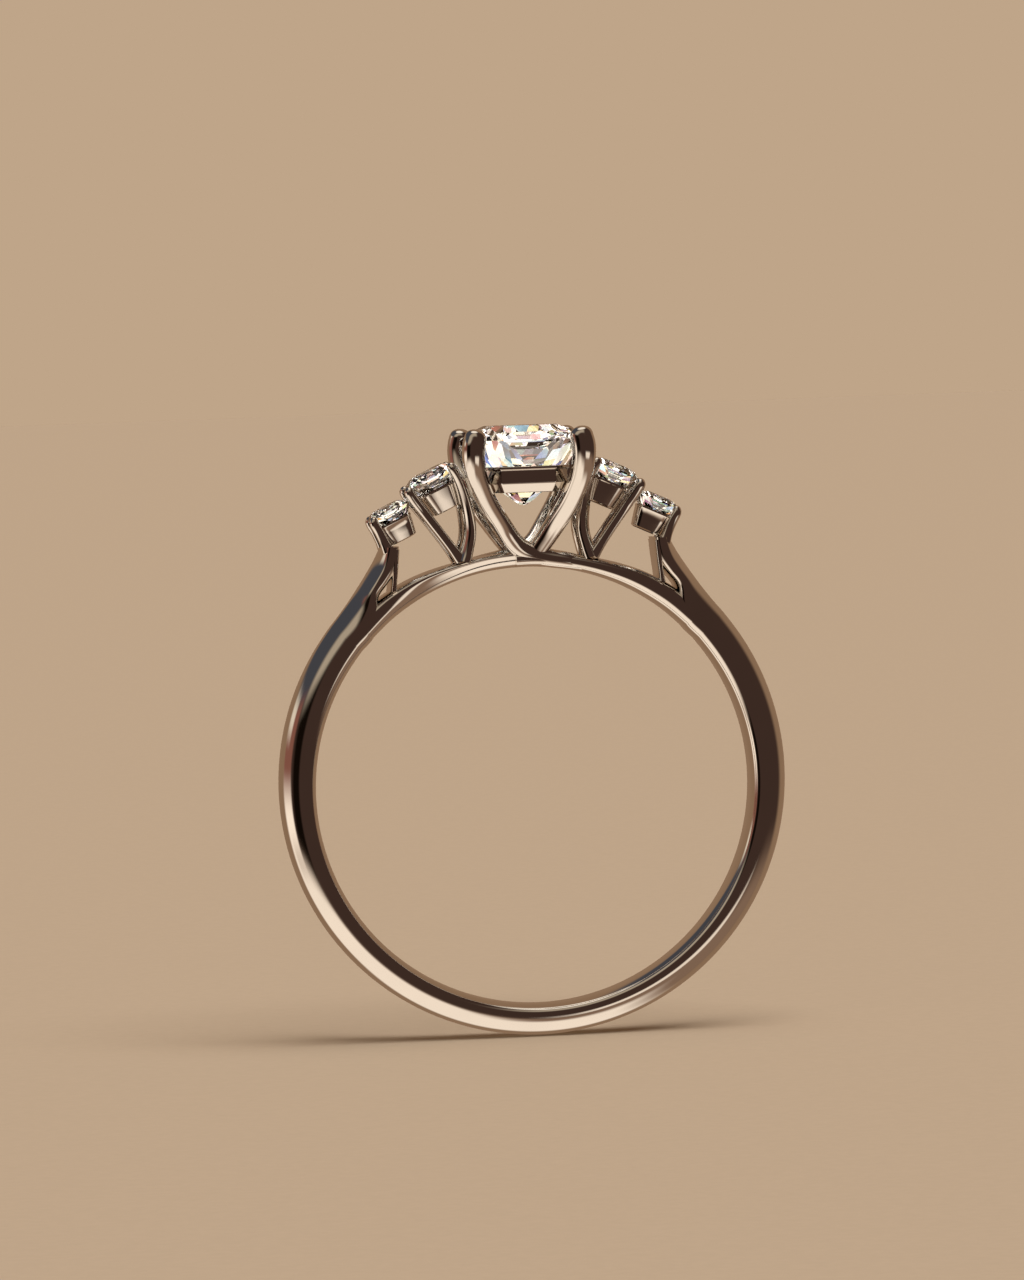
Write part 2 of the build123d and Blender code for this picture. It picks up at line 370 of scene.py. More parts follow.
def faceted_diamond(finishes):
    """Colourless diamond, sawn, faceted on a lap and polished.

    Its high index (2.417) turns light back through the crown, so it glitters; polishing
    leaves each facet a flawless mirror.
    """
    if "Faceted_diamond" in bpy.data.materials:
        return bpy.data.materials["Faceted_diamond"]
    material, tree = fresh_material("Faceted_diamond")
    shader = node(tree, "ShaderNodeBsdfPrincipled", in_Base_Color=finishes.stone,
                  in_Roughness=0.0, in_IOR=2.417, in_Transmission_Weight=1.0)
    node(tree, "ShaderNodeOutputMaterial", [(shader.outputs["BSDF"], "Surface")])
    return material


def woven_cloth(finishes):
    """Matt cotton cloth, plain woven: a soft warm ground with a fine grain of random tone, painted with
    shade in the threads' hollows and light on their ridges.
    """
    material, tree = fresh_material("Woven_cloth")
    thread_spacing = 0.4 * MM
    # the grain's painted shade in the threads' hollows and painted light on their ridges
    painted_hollow_shade, painted_ridge_light = 0.96, 1.04
    place = node(tree, "ShaderNodeTexCoord").outputs["Object"]
    weave = node(tree, "ShaderNodeTexNoise", [(place, "Vector")],
                 in_Scale=1 / thread_spacing, in_Detail=3.0)
    # painted shade and painted light: the cloth's colour darkens and lightens with the weave noise
    colour_with_painted_shading = node(tree, "ShaderNodeMix", [(weave.outputs["Fac"], "Factor")], data_type="RGBA")
    colour_with_painted_shading.inputs[6].default_value = [c * painted_hollow_shade for c in finishes.floor[:3]] + [1.0]
    colour_with_painted_shading.inputs[7].default_value = [min(c * painted_ridge_light, 1.0) for c in finishes.floor[:3]] + [1.0]
    shader = node(tree, "ShaderNodeBsdfPrincipled", [(colour_with_painted_shading.outputs[2], "Base Color")],
                  in_Roughness=1.0, in_Specular_IOR_Level=0.0)
    node(tree, "ShaderNodeOutputMaterial", [(shader.outputs["BSDF"], "Surface")])
    return material


# ---------------------------------------------------------------- band and shoulders

FLAT = 0.34                     # share of the band's thickness inside its widest line
D_IN, D_OUT = 2.9, 2.0          # squareness of the band's inside and outside halves
BAND_SIDES, STRUT_SIDES = 24, 20  # points round the section of the band and of the strut
SHANK_END = 40.0                # degrees above +X where the shank meets a shoulder
SHANK_SECTIONS = 65
STRUT_WIDTH = 0.97              # the strut's width, as a share of the band's
BRIDGE_INSET = 0.004            # how far the bridge's sides stay inside the band's


def band_row(sizes, angle):
    """Inner and outer points of the band at an angle above +X, with its section's shape."""
    c, s = math.cos(math.radians(angle)), math.sin(math.radians(angle))
    reach = sizes.lift * s + math.sqrt(sizes.outer**2 - (sizes.lift * c) ** 2)
    return (sizes.bore * c, sizes.bore * s, reach * c, reach * s, D_IN, D_OUT, FLAT, 0.0)


def make_shank(sizes):
    """The D-section band from one solder joint round to the other."""
    sweep = 180 + 2 * SHANK_END
    angles = [SHANK_END - sweep * i / (SHANK_SECTIONS - 1) for i in range(SHANK_SECTIONS)]
    rows = [band_row(sizes, angle) for angle in angles]
    side = sizes.width / 2
    return extrude_bar(plate_sections(rows, 1, -side, side), BAND_SIDES)


# Rows of inner x, z, outer x, z, squareness inside and outside, share of the thickness inside
# the widest line, and taper
RAIL = [
    (5.83, 5.84, 7.13, 6.71, 2.9, 1.9, 0.34, 0.0),
    (5.64, 6.55, 6.78, 7.16, 3.0, 1.8, 0.36, 0.0),
    (5.64, 7.30, 6.42, 7.66, 3.4, 1.7, 0.38, 0.0),
    (5.27, 7.82, 6.10, 8.14, 3.8, 1.6, 0.45, 0.0),
    (4.98, 8.26, 5.84, 8.55, 3.8, 1.6, 0.48, 0.0),
    (4.86, 8.76, 5.64, 8.90, 3.8, 1.8, 0.48, 0.0),
    (4.80, 9.20, 5.50, 9.18, 3.4, 2.2, 0.48, 0.0),
]
STRUT = [
    (4.80, 9.10, 5.20, 9.10, 4.0, 4.0, 0.5, 0.0),
    (4.84, 8.70, 5.16, 8.70, 4.0, 4.0, 0.5, 0.0),
    (4.89, 8.25, 5.15, 8.25, 4.0, 4.0, 0.5, 0.0),
    (4.94, 7.85, 5.18, 7.85, 4.0, 4.0, 0.5, 0.0),
    (4.95, 7.55, 5.24, 7.50, 4.0, 4.0, 0.5, 0.0),
]


def make_shoulder(sizes):
    """The rail that leaves the band for the outer stone, and the strut down to the bridge."""
    side = sizes.width / 2
    start = [band_row(sizes, SHANK_END)]
    rail = extrude_bar(plate_sections(start + RAIL, 5, -side, side), BAND_SIDES)
    side *= STRUT_WIDTH
    strut = extrude_bar(plate_sections(STRUT, 4, -side, side), STRUT_SIDES)
    return join(rail, strut)


# Outer points of the bridge as angle above +X, radius from the bore's centre, and taper,
# which rolls its far side under towards the crossing
BRIDGE = [
    (44, 9.20, 0.0), (50, 9.20, 0.08), (55, 9.17, 0.20), (61, 9.10, 0.34), (67, 9.00, 0.46),
    (74, 8.90, 0.54), (81, 8.87, 0.58), (88, 8.86, 0.60), (92.9, 8.86, 0.60),
]


def bridge_row(sizes, angle, radius, taper):
    """Inner and outer points of the bridge at an angle above +X."""
    c, s = math.cos(math.radians(angle)), math.sin(math.radians(angle))
    return (sizes.bore * c, sizes.bore * s, radius * c, radius * s, 2.8, 3.4, 0.5, taper)


def make_bridge(sizes):
    """The inner rail, from inside the shoulder to just past the middle, under the crossing claw."""
    side = sizes.width / 2
    rows = [bridge_row(sizes, *row) for row in BRIDGE]
    sections = plate_sections(rows, 4, -side + BRIDGE_INSET, side - BRIDGE_INSET)
    return extrude_bar(sections, BAND_SIDES)


# ---------------------------------------------------------------- claws

# Rows of centre x, y, z, width across the front, depth, and squareness
CROSSOVER = [
    (3.15, -0.36, 8.00, 0.40, 0.80, 2.4),
    (2.40, -0.44, 8.235, 0.56, 0.96, 2.6),
    (1.60, -0.50, 8.425, 0.66, 1.00, 2.6),
    (0.68, -0.51, 8.595, 0.73, 1.00, 2.6),
    (0.16, -0.53, 8.755, 0.79, 0.98, 2.5),
    (-0.22, -0.59, 8.95, 0.81, 0.95, 2.4),
    (-0.56, -0.72, 9.27, 0.80, 0.90, 2.4),
    (-0.96, -0.97, 9.88, 0.78, 0.86, 2.3),
    (-1.55, -1.52, 10.80, 0.78, 0.82, 2.3),
    (-1.95, -2.02, 11.70, 0.82, 0.80, 2.3),
    (-2.07, -2.24, 12.30, 0.86, 0.80, 2.3),
    (-2.07, -2.31, 12.80, 0.88, 0.80, 2.3),
    (-1.98, -2.26, 13.20, 0.86, 0.78, 2.2),
]
STOPPED = [
    (0.30, -0.50, 8.70, 0.70, 0.84, 2.6),
    (0.60, -0.64, 9.12, 0.74, 0.84, 2.6),
    (1.06, -0.92, 9.82, 0.80, 0.84, 2.5),
    (1.62, -1.48, 10.75, 0.82, 0.82, 2.4),
    (1.98, -1.98, 11.65, 0.86, 0.82, 2.3),
    (2.08, -2.22, 12.30, 0.90, 0.82, 2.3),
    (2.08, -2.31, 12.80, 0.92, 0.80, 2.3),
    (2.00, -2.26, 13.20, 0.90, 0.78, 2.2),
]
INNER_CLAW = [
    (2.42, -0.72, 8.55, 0.64, 0.46, 2.5),
    (2.28, -0.71, 9.00, 0.60, 0.42, 2.5),
    (2.15, -0.70, 9.70, 0.60, 0.40, 2.5),
    (2.23, -0.72, 10.60, 0.60, 0.40, 2.4),
    (2.44, -0.80, 11.45, 0.54, 0.40, 2.3),
    (2.68, -0.85, 12.00, 0.42, 0.40, 2.2),
    (2.76, -0.84, 12.12, 0.38, 0.38, 2.0),
]
SHARED_CLAW = [
    (2.52, -0.70, 8.60, 0.46, 0.44, 3.0),
    (2.84, -0.70, 9.07, 0.38, 0.38, 3.2),
    (3.24, -0.70, 9.63, 0.37, 0.36, 3.2),
    (3.78, -0.72, 10.36, 0.38, 0.36, 3.0),
    (4.17, -0.80, 10.88, 0.42, 0.38, 2.6),
    (4.36, -0.84, 11.18, 0.42, 0.40, 2.2),
    (4.38, -0.82, 11.26, 0.38, 0.38, 2.0),
]
OUTER_CLAW = [
    (5.22, -0.70, 9.02, 0.52, 0.50, 3.0),
    (5.36, -0.68, 9.34, 0.40, 0.42, 3.0),
    (5.54, -0.70, 9.74, 0.38, 0.38, 2.8),
    (5.72, -0.72, 10.06, 0.38, 0.38, 2.4),
    (5.74, -0.71, 10.18, 0.36, 0.36, 2.0),
]

CLAW_SIDES = 16                 # points round the section of a claw
CENTRE_TIP = 0.8                # height of the centre claws' tips, as a share of a round one's
BLADE_ROLL = 52.0               # degrees by which the inner claws turn outwards


def make_claw(line, roll=0.0, tip_height=1.0):
    """A claw in front of the ring, from its foot to a rounded tip."""
    return extrude_bar(dome(wire_sections(line, roll), tip_height), CLAW_SIDES)


# ---------------------------------------------------------------- collets

def cut_corners(half_x, half_y, corner):
    """The eight corners of a rectangle with its corners cut off, in order."""
    quarter = [(half_x, half_y - corner), (half_x - corner, half_y)]
    points = []
    for sx, sy in ((1, 1), (-1, 1), (-1, -1), (1, -1)):
        part = [(sx * x, sy * y) for x, y in quarter]
        points += part if sx * sy > 0 else part[::-1]
    return points


def make_collet(rings, seat):
    """A tube of flat walls: a loop of eight points carried down the outside and up the inside.

    Each ring is its height from the girdle, its two half sizes and its cut corner.
    """
    bm, loop = start_loop(8)
    order = bm.verts.layers.int["order"]
    first = list(bm.edges)

    def place(vert, ring):
        height, half_x, half_y, corner = ring
        return (*cut_corners(half_x, half_y, corner)[vert[order]], height)

    last = carry_loop(bm, loop, first, rings, place)
    bmesh.ops.bridge_loops(bm, edges=first + last)
    bmesh.ops.recalc_face_normals(bm, faces=bm.faces)
    corners = [e for e in bm.edges if e.calc_face_angle(0) > math.radians(CORNER_ABOVE)]
    bmesh.ops.bevel(bm, geom=corners, offset=COLLET_BEVEL, offset_type="OFFSET", affect="EDGES",
                    segments=2, profile=0.5, material=-1, clamp_overlap=True)
    bm.transform(seat)
    return bm


COLLET_BEVEL = 0.025            # how far the polishing has taken the centre collet's corners off
CORNER_ABOVE = 20.0             # degrees between two faces that make such a corner
COLLET_SIDES = 40               # points round a side collet

# Heights from the girdle, half sizes and cut corner, down the outside and up the inside
CENTRE_COLLET = [
    (-0.93, 1.62, 2.12, 0.56), (-1.05, 1.62, 2.12, 0.56), (-1.06, 1.54, 2.01, 0.52),
    (-1.57, 1.54, 2.00, 0.52), (-1.92, 1.34, 1.80, 0.46),
    (-1.92, 1.14, 1.60, 0.40), (-1.20, 1.25, 1.72, 0.40), (-0.95, 1.46, 1.95, 0.48),
]
# The same for the side stones, whose collets have round corners: heights, half sizes, squareness
INNER_COLLET = [
    (-0.42, 0.75, 5.0), (-0.50, 0.75, 5.0), (-0.53, 0.72, 4.8), (-0.80, 0.675, 4.4),
    (-1.05, 0.63, 4.2), (-1.31, 0.58, 4.0), (-1.35, 0.51, 4.0), (-1.00, 0.50, 4.0), (-0.46, 0.64, 4.4),
]
OUTER_COLLET = [
    (-0.34, 0.70, 5.0), (-0.41, 0.70, 5.0), (-0.44, 0.68, 5.0), (-0.68, 0.65, 4.6),
    (-0.90, 0.61, 4.4), (-1.13, 0.57, 4.2), (-1.17, 0.50, 4.0), (-0.86, 0.48, 4.0), (-0.38, 0.57, 4.4),
]


def make_round_collet(rings, seat):
    """A tapered tube with rounded corners, carried down the outside and up the inside."""
    bm, loop = start_loop(COLLET_SIDES)
    turn = bm.verts.layers.float["turn"]
    first = list(bm.edges)

    def place(vert, ring):
        height, half, power = ring
        return (*superellipse(vert[turn], half, half, half, power, power), height)

    last = carry_loop(bm, loop, first, rings, place)
    bmesh.ops.bridge_loops(bm, edges=first + last)
    bmesh.ops.recalc_face_normals(bm, faces=bm.faces)
    bm.transform(seat)
    return bm


# ---------------------------------------------------------------- stones

def outline_reach(turn, half_x, half_y, corner, roundness):
    """How far a stone's outline reaches in a direction.

    The outline is a rectangle with its corners cut off, or an oval, or something between.
    """
    c, s = abs(math.cos(turn)), abs(math.sin(turn))
    cornered = max(half_x * c + (half_y - corner) * s, (half_x - corner) * c + half_y * s)
    oval = math.hypot(half_x * c, half_y * s)
    return cornered + (oval - cornered) * roundness


# Tiers of facets from the girdle up to the table and down to the culet. Each row is the share
# of the height, the share of the reach there, the slope, the number of facets, how far they
# are turned, and how round the outline has become.
CROWN_TIERS = [
    (0.00, 1.000, 46, 8, 0, 0.0), (0.12, 0.965, 42, 16, 11.25, 0.15),
    (0.34, 0.905, 37, 16, 0, 0.3), (0.55, 0.835, 31, 16, 11.25, 0.45),
    (0.75, 0.755, 25, 16, 0, 0.6), (0.90, 0.690, 18, 8, 22.5, 0.7),
]
PAVILION_TIERS = [
    (0.00, 1.000, 70, 8, 0, 0.0), (0.05, 0.983, 66, 16, 11.25, 0.2),
    (0.12, 0.952, 62, 24, 7.5, 0.4), (0.20, 0.912, 58, 24, 0, 0.6),
    (0.30, 0.850, 55, 24, 7.5, 0.8), (0.41, 0.770, 51, 24, 0, 1.0),
    (0.52, 0.673, 47, 24, 7.5, 1.0), (0.63, 0.560, 44, 16, 0, 1.0),
    (0.75, 0.425, 40, 16, 11.25, 1.0), (0.88, 0.245, 36, 8, 0, 1.0),
]
GIRDLE = 0.03                   # half the thickness of a girdle
GIRDLE_SIDES = 8
ON_PLANE, ONE_POINT = 1e-5, 1e-4  # how near points lie to a cut, or to each other, to be one


def make_stone(width, length_mm, corner, crown, pavilion, seat, sparsity=1):
    """A faceted stone: a block cut down by one plane for each facet.

    A smaller stone has fewer facets, by a whole number, its sparsity.
    """
    half_x, half_y = width / 2, length_mm / 2
    bm = bmesh.new()
    bmesh.ops.create_cube(bm, size=1)
    bmesh.ops.scale(bm, vec=(width, length_mm, crown + pavilion), verts=bm.verts)
    bmesh.ops.translate(bm, vec=(0, 0, (crown - pavilion) / 2), verts=bm.verts)
    facets = []
    for number in range(GIRDLE_SIDES):
        turn = math.radians(360 / GIRDLE_SIDES * number)
        facets.append((turn, outline_reach(turn, half_x, half_y, corner, 0), 0, 90))
    for tiers, height, sign in ((CROWN_TIERS, crown, 1), (PAVILION_TIERS, pavilion, -1)):
        for level, share, slope, count, phase, roundness in tiers:
            count = max(GIRDLE_SIDES, count // sparsity)
            for number in range(count):
                turn = math.radians(phase + 360 * number / count)
                reach = outline_reach(turn, half_x, half_y, corner, roundness) * share
                facets.append((turn, reach, sign * (GIRDLE + level * (height - GIRDLE)), sign * slope))
    for turn, reach, height, slope in facets:
        tilt = math.radians(abs(slope))
        side = Vector((math.cos(turn), math.sin(turn), 0))
        normal = side * math.sin(tilt) + Vector((0, 0, math.copysign(math.cos(tilt), slope)))
        cut = bmesh.ops.bisect_plane(bm, geom=bm.verts[:] + bm.edges[:] + bm.faces[:],
                                     plane_co=side * reach + Vector((0, 0, height)),
                                     plane_no=normal, dist=ON_PLANE, clear_outer=True)
        edges = [g for g in cut["geom_cut"] if isinstance(g, bmesh.types.BMEdge)]
        open_edges = [e for e in edges if e.is_valid and e.is_boundary]
        if len(open_edges) > 2:
            bmesh.ops.contextual_create(bm, geom=open_edges)
    bmesh.ops.remove_doubles(bm, verts=bm.verts, dist=ONE_POINT)
    bmesh.ops.recalc_face_normals(bm, faces=bm.faces)
    bm.transform(seat)
    return bm


def seat_matrix(x, z, lean):
    """Places a stone and its collet: the girdle's centre and how far it leans outwards."""
    return Matrix.Translation((x, 0, z)) @ Matrix.Rotation(math.radians(lean), 4, "Y")


CENTRE_SEAT = seat_matrix(0, 13.0, 0)
INNER_SEAT = seat_matrix(3.47, 11.73, 25)
OUTER_SEAT = seat_matrix(5.11, 10.50, 25)
# Cut corner, height of the crown and depth of the pavilion; the side stones' width comes first
CENTRE_CUT = (0.75, 0.60, 2.40)
INNER_CUT = (2.0, 0.35, 0.30, 0.95)
OUTER_CUT = (1.64, 0.30, 0.25, 0.80)
SIDE_SPARSITY = 2


# ---------------------------------------------------------------- operators

class RingOperator:
    """What the ring's operators share: their options and how a piece is finished in metal or in stone."""

    bl_options = {"REGISTER", "UNDO"}

    def metal_piece(self, context, name, bm, levels=2, crisp=None):
        material = rhodium_plated_white_gold(context.scene.ring_finishes)
        finish_piece(f"{name}_polished", bm, material, name, levels, crisp)

    def stone_piece(self, context, name, bm):
        material = faceted_diamond(context.scene.ring_finishes)
        finish_piece(f"{name}_cut", bm, material, name, 0, "facets")


class RING_OT_band(RingOperator, bpy.types.Operator):
    """Makes the band, the shoulders and the bridges under the stones"""

    bl_idname = "ring.band"
    bl_label = "Band and Shoulders"

    def execute(self, context):
        sizes = context.scene.ring_sizes
        self.metal_piece(context, "shank", make_shank(sizes))
        for name, make in (("shoulder", make_shoulder), ("bridge", make_bridge)):
            right = make(sizes)
            self.metal_piece(context, f"{name}_left", half_turn(right))
            self.metal_piece(context, f"{name}_right", right)
        return {"FINISHED"}


class RING_OT_centre_claws(RingOperator, bpy.types.Operator):
    """Makes the four claws of the centre stone, which cross at the foot"""

    bl_idname = "ring.centre_claws"
    bl_label = "Crossing Claws"

    def execute(self, context):
        front_left = make_claw(CROSSOVER, tip_height=CENTRE_TIP)
        front_right = make_claw(STOPPED, tip_height=CENTRE_TIP)
        self.metal_piece(context, "claw_back_right", half_turn(front_left))
        self.metal_piece(context, "claw_back_left", half_turn(front_right))
        self.metal_piece(context, "claw_front_left", front_left)
        self.metal_piece(context, "claw_front_right", front_right)
        return {"FINISHED"}


class RING_OT_side_claws(RingOperator, bpy.types.Operator):
    """Makes the claws of the four side stones"""

    bl_idname = "ring.side_claws"
    bl_label = "Side Claws"

    def execute(self, context):
        for name, line, roll in (("inner_claw", INNER_CLAW, BLADE_ROLL),
                                 ("shared_claw", SHARED_CLAW, 0),
                                 ("outer_claw", OUTER_CLAW, 0)):
            front = make_claw(line, roll)
            back = swap_side(front)
            self.metal_piece(context, f"{name}_left_back", half_turn(front))
            self.metal_piece(context, f"{name}_left_front", half_turn(back))
            self.metal_piece(context, f"{name}_right_front", front)
            self.metal_piece(context, f"{name}_right_back", back)
        return {"FINISHED"}


class RING_OT_collets(RingOperator, bpy.types.Operator):
    """Makes the tapered tube under each stone"""

    bl_idname = "ring.collets"
    bl_label = "Collets"

    def execute(self, context):
        centre = make_collet(CENTRE_COLLET, CENTRE_SEAT)
        self.metal_piece(context, "centre_collet", centre, 0, "facets")
        for name, rings, seat in (("inner_collet", INNER_COLLET, INNER_SEAT),
                                  ("outer_collet", OUTER_COLLET, OUTER_SEAT)):
            right = make_round_collet(rings, seat)
            self.metal_piece(context, f"{name}_left", half_turn(right), 0, "edges")
            self.metal_piece(context, f"{name}_right", right, 0, "edges")
        return {"FINISHED"}


class RING_OT_stones(RingOperator, bpy.types.Operator):
    """Cuts the five diamonds"""

    bl_idname = "ring.stones"
    bl_label = "Diamonds"

    def execute(self, context):
        sizes = context.scene.ring_sizes
        centre = make_stone(sizes.stone_width, sizes.stone_length, *CENTRE_CUT, CENTRE_SEAT)
        self.stone_piece(context, "centre_diamond", centre)
        for name, (width, *cut), seat in (("inner_diamond", INNER_CUT, INNER_SEAT),
                                          ("outer_diamond", OUTER_CUT, OUTER_SEAT)):
            right = make_stone(width, width, *cut, seat, SIDE_SPARSITY)
            self.stone_piece(context, f"{name}_left", half_turn(right))
            self.stone_piece(context, f"{name}_right", right)
        return {"FINISHED"}


# ---------------------------------------------------------------- stage

KEY_TOWARDS = (0.25, -0.30, 1.0)  # where the key light stands, seen from the ring
KEY_SPREAD, KEY_STRENGTH = 50, 2.0
FLOOR_HALF = 4.0                # half the side of the floor, in metres


def sky_light(name, towards, spread, strength, code):
    """A far soft light, which fills a spread of degrees and isn't mirrored in the metal."""
    light = bpy.data.lights.new(name, "SUN")
    light.angle = math.radians(spread)
    light.energy = strength
    light.color = linear(code)[:3]
    lamp = bpy.data.objects.new(name, light)
    lamp.visible_glossy = False
    bpy.context.scene.collection.objects.link(lamp)
    lamp.rotation_euler = Vector(towards).to_track_quat("Z", "Y").to_euler()


# The room as the polished metal mirrors it, painted in order. Each patch has its colour, its
# strength, and ranges along directions, over which it fades in from the first number to the
# second.
LEFT, RIGHT, FRONT, BACK, UP = (-1, 0, 0), (1, 0, 0), (0, -1, 0), (0, 1, 0), (0, 0, 1)
ROOM = [
    ("#42312A", 1.0, []),
    ("#93765D", 1.0, [(BACK, -0.10, 0.35)]),
    ("#1A120C", 0.6, [(LEFT, 0.36, 0.52), (LEFT, 0.92, 0.78), (FRONT, 0.28, 0.46)]),
    ("#9A6455", 0.8, [(LEFT, 0.68, 0.84), (BACK, -0.42, -0.26), (BACK, 0.46, 0.28)]),
    ("#FFEEDC", 1.2, [(LEFT, 0.44, 0.66), (BACK, -0.44, -0.28), (BACK, 0.50, 0.28), (UP, 0.06, -0.18)]),
    ("#8A6F5C", 1.0, [(UP, -0.20, -0.50), (BACK, 0.40, 0.10), (FRONT, 0.96, 0.80)]),
    ("#FFEEDC", 1.1, [(UP, -0.26, -0.50), (RIGHT, 0.14, -0.12), (BACK, 0.50, 0.28), (FRONT, 0.92, 0.76)]),
    ("#FFEEDC", 1.1, [(UP, -0.64, -0.84), (RIGHT, 0.60, 0.36), (BACK, 0.62, 0.40)]),
    ("#EBDCC8", 1.0, [(LEFT, 0.46, 0.62), (UP, 0.12, 0.26), (UP, 0.46, 0.34), (BACK, -0.05, 0.12),
                      (BACK, 0.55, 0.35)]),
    ("#505158", 0.8, [(LEFT, 0.06, 0.30), (UP, 0.28, 0.42), (FRONT, 0.54, 0.32), (BACK, 0.92, 0.76)]),
    ("#FFEEDC", 1.0, [(UP, -0.24, -0.34), (UP, -0.50, -0.42), (RIGHT, 0.10, 0.22), (FRONT, 0.68, 0.78)]),
    ("#C9B8A2", 0.8, [(FRONT, 0.30, 0.55), (FRONT, 0.90, 0.74), (UP, 0.20, 0.42), (RIGHT, 0.35, 0.10)]),
    ("#FFF4E6", 1.1, [(UP, 0.91, 0.97)]),
]
# What the stones gather: many small lamps, whose colours split as they leave the facets
LAMP_SPACING = 12.0             # lamps across one radius of the sky, roughly
LAMP_SPLIT = 0.0025             # how far red and blue shift either side of green
LAMP_WARMTH = (1.0, 0.89, 0.77)  # share of red, green and blue in the lamps' warm light
LAMP_EDGES = (0.40, 0.60)       # the noise below which there is no lamp, and above which it is full
LAMP_DARK, LAMP_BRIGHT = 0.20, 2.1


def add_lamps(tree, ray):
    """Bright and dark specks all round, slightly apart in red, green and blue."""
    channels = []
    for shift, share in zip((1 - LAMP_SPLIT, 1.0, 1 + LAMP_SPLIT), LAMP_WARMTH):
        spread = node(tree, "ShaderNodeVectorMath", [(ray, 0)], operation="SCALE", in_Scale=shift)
        specks = node(tree, "ShaderNodeTexNoise", [(spread.outputs[0], "Vector")],
                      in_Scale=LAMP_SPACING, in_Detail=4.0, in_Roughness=0.75)
        lit = node(tree, "ShaderNodeMapRange", [(specks.outputs["Fac"], "Value")],
                   interpolation_type="SMOOTHSTEP",
                   in_From_Min=LAMP_EDGES[0], in_From_Max=LAMP_EDGES[1],
                   in_To_Min=LAMP_DARK * share, in_To_Max=LAMP_BRIGHT * share)
        channels.append(lit.outputs["Result"])
    lamps = node(tree, "ShaderNodeCombineColor", list(zip(channels, ("Red", "Green", "Blue"))))
    return lamps.outputs["Color"]


def make_room(context):
    """A dim warm room with bright patches; the part of it that the camera sees is plain."""
    world = bpy.data.worlds.new("Room")
    context.scene.world = world
    world.use_nodes = True
    tree = world.node_tree
    tree.nodes.clear()
    ray = node(tree, "ShaderNodeTexCoord").outputs["Generated"]
    total = None
    for code, strength, ranges in ROOM:
        share = None
        for axis, start, end in ranges:
            facing = node(tree, "ShaderNodeVectorMath", [(ray, 0)], operation="DOT_PRODUCT")
            facing.inputs[1].default_value = axis
            low, high, out = (start, end, (0, 1)) if start < end else (end, start, (1, 0))
            fade = node(tree, "ShaderNodeMapRange", [(facing.outputs["Value"], "Value")],
                        interpolation_type="SMOOTHSTEP", in_From_Min=low, in_From_Max=high,
                        in_To_Min=out[0], in_To_Max=out[1]).outputs["Result"]
            if share is None:
                share = fade
            else:
                share = node(tree, "ShaderNodeMath", [(share, 0), (fade, 1)],
                             operation="MULTIPLY").outputs[0]
        lit = [c * strength for c in linear(code)[:3]] + [1.0]
        if share is None:
            total = node(tree, "ShaderNodeRGB").outputs[0]
            total.default_value = lit
        else:
            patch = node(tree, "ShaderNodeMix", [(share, "Factor"), (total, 6)], data_type="RGBA")
            patch.inputs[7].default_value = lit
            total = patch.outputs[2]
    path = node(tree, "ShaderNodeLightPath")
    gathered = node(tree, "ShaderNodeMix", data_type="RGBA",
                    links=[(path.outputs["Is Transmission Ray"], "Factor"), (total, 6),
                           (add_lamps(tree, ray), 7)])
    plain = node(tree, "ShaderNodeMix", data_type="RGBA",
                 links=[(path.outputs["Is Camera Ray"], "Factor"), (gathered.outputs[2], 6)])
    plain.inputs[7].default_value = linear(BACKDROP)
    shader = node(tree, "ShaderNodeBackground", [(plain.outputs[2], "Color")], in_Strength=1.0)
    node(tree, "ShaderNodeOutputWorld", [(shader.outputs["Background"], "Surface")])


BACKDROP = "#BFA589"            # what the camera sees past the floor, matched to the lit floor
AIM = (-0.596, 0.0, 5.505)      # middle of the picture, in millimetres
AZIMUTH, ELEVATION, ROLL = -7.0, 2.2, 2.0
DISTANCE, LENS, SENSOR = 268.3, 200.0, 36.0


def make_camera(context):
    """A long lens a little to the left of the finger's axis and a little above it."""
    data = bpy.data.cameras.new("Camera")
    data.lens, data.sensor_width = LENS, SENSOR
    data.clip_start, data.clip_end = 0.01, 20.0
    camera = bpy.data.objects.new("Camera", data)
    context.scene.collection.objects.link(camera)
    azimuth, elevation = math.radians(AZIMUTH), math.radians(ELEVATION)
    level = math.cos(elevation)
    back = Vector((math.sin(azimuth) * level, -math.cos(azimuth) * level, math.sin(elevation)))
    camera.location = (Vector(AIM) + back * DISTANCE) * MM
    facing = (-back).to_track_quat("-Z", "Y").to_matrix()
    camera.rotation_euler = (facing @ Matrix.Rotation(math.radians(-ROLL), 3, "Z")).to_euler()
    context.scene.camera = camera


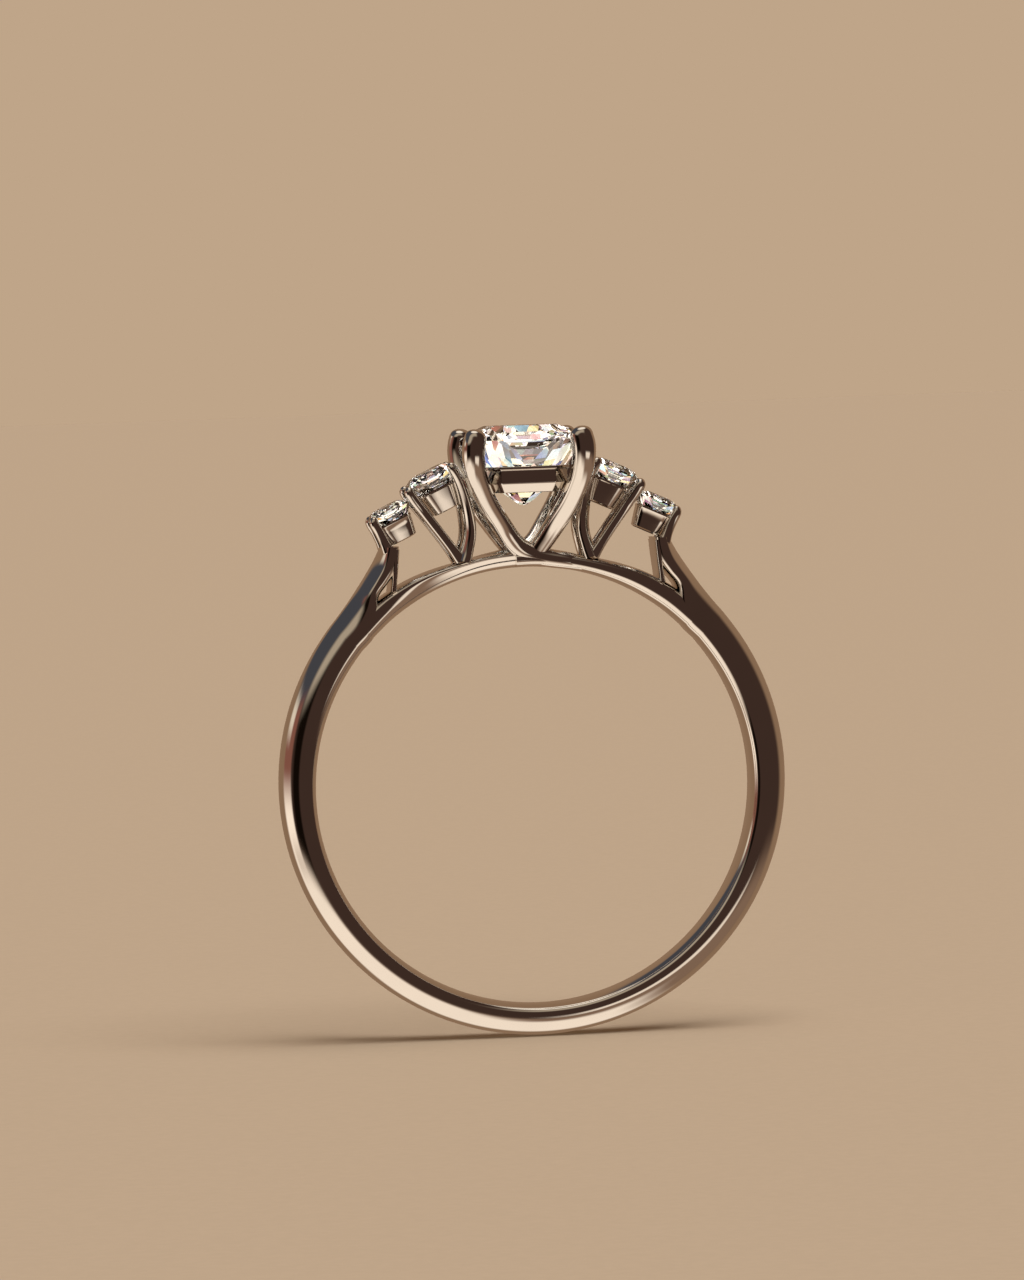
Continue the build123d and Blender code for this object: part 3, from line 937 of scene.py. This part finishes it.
class RING_OT_stage(bpy.types.Operator):
    """Makes the floor, the soft lights, the room and the camera"""

    bl_idname = "ring.stage"
    bl_label = "Stage"

    def execute(self, context):
        bm = bmesh.new()
        bmesh.ops.create_grid(bm, x_segments=1, y_segments=1, size=FLOOR_HALF)
        bmesh.ops.translate(bm, vec=(0, 0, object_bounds()[0][2]), verts=bm.verts)
        mesh = bpy.data.meshes.new("floor")
        bm.to_mesh(mesh)
        bm.free()
        floor = bpy.data.objects.new("floor", mesh)
        mesh.materials.append(woven_cloth(context.scene.ring_finishes))
        context.scene.collection.objects.link(floor)
        floor.visible_glossy = False
        floor.visible_transmission = False
        floor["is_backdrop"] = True
        sky_light("Key", KEY_TOWARDS, KEY_SPREAD, KEY_STRENGTH, "#FFFFFF")
        make_room(context)
        make_camera(context)
        context.scene.view_settings.view_transform = "Standard"
        return {"FINISHED"}


class RING_PT_panel(bpy.types.Panel):
    """Lists the ring's pieces in the order in which they are made"""

    bl_label = "Five-Stone Ring"
    bl_idname = "RING_PT_panel"
    bl_space_type = "VIEW_3D"
    bl_region_type = "UI"
    bl_category = "Ring"

    def draw(self, context):
        for group in (context.scene.ring_sizes, context.scene.ring_finishes):
            for key in group.__annotations__:
                self.layout.prop(group, key)
        for step in STEPS:
            self.layout.operator(step.bl_idname)


STEPS = (
    RING_OT_band,
    RING_OT_centre_claws,
    RING_OT_side_claws,
    RING_OT_collets,
    RING_OT_stones,
    RING_OT_stage,
)
CLASSES = (RingSizes, RingFinishes, RING_PT_panel) + STEPS


def register():
    for cls in CLASSES:
        bpy.utils.register_class(cls)
    bpy.types.Scene.ring_sizes = bpy.props.PointerProperty(type=RingSizes)
    bpy.types.Scene.ring_finishes = bpy.props.PointerProperty(type=RingFinishes)


def unregister():
    del bpy.types.Scene.ring_finishes
    del bpy.types.Scene.ring_sizes
    for cls in reversed(CLASSES):
        bpy.utils.unregister_class(cls)


def main():
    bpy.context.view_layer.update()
    register()
    bpy.ops.ring.band()
    bpy.ops.ring.centre_claws()
    bpy.ops.ring.side_claws()
    bpy.ops.ring.collets()
    bpy.ops.ring.stones()
    bpy.ops.ring.stage()


if __name__ == "__main__":
    main()
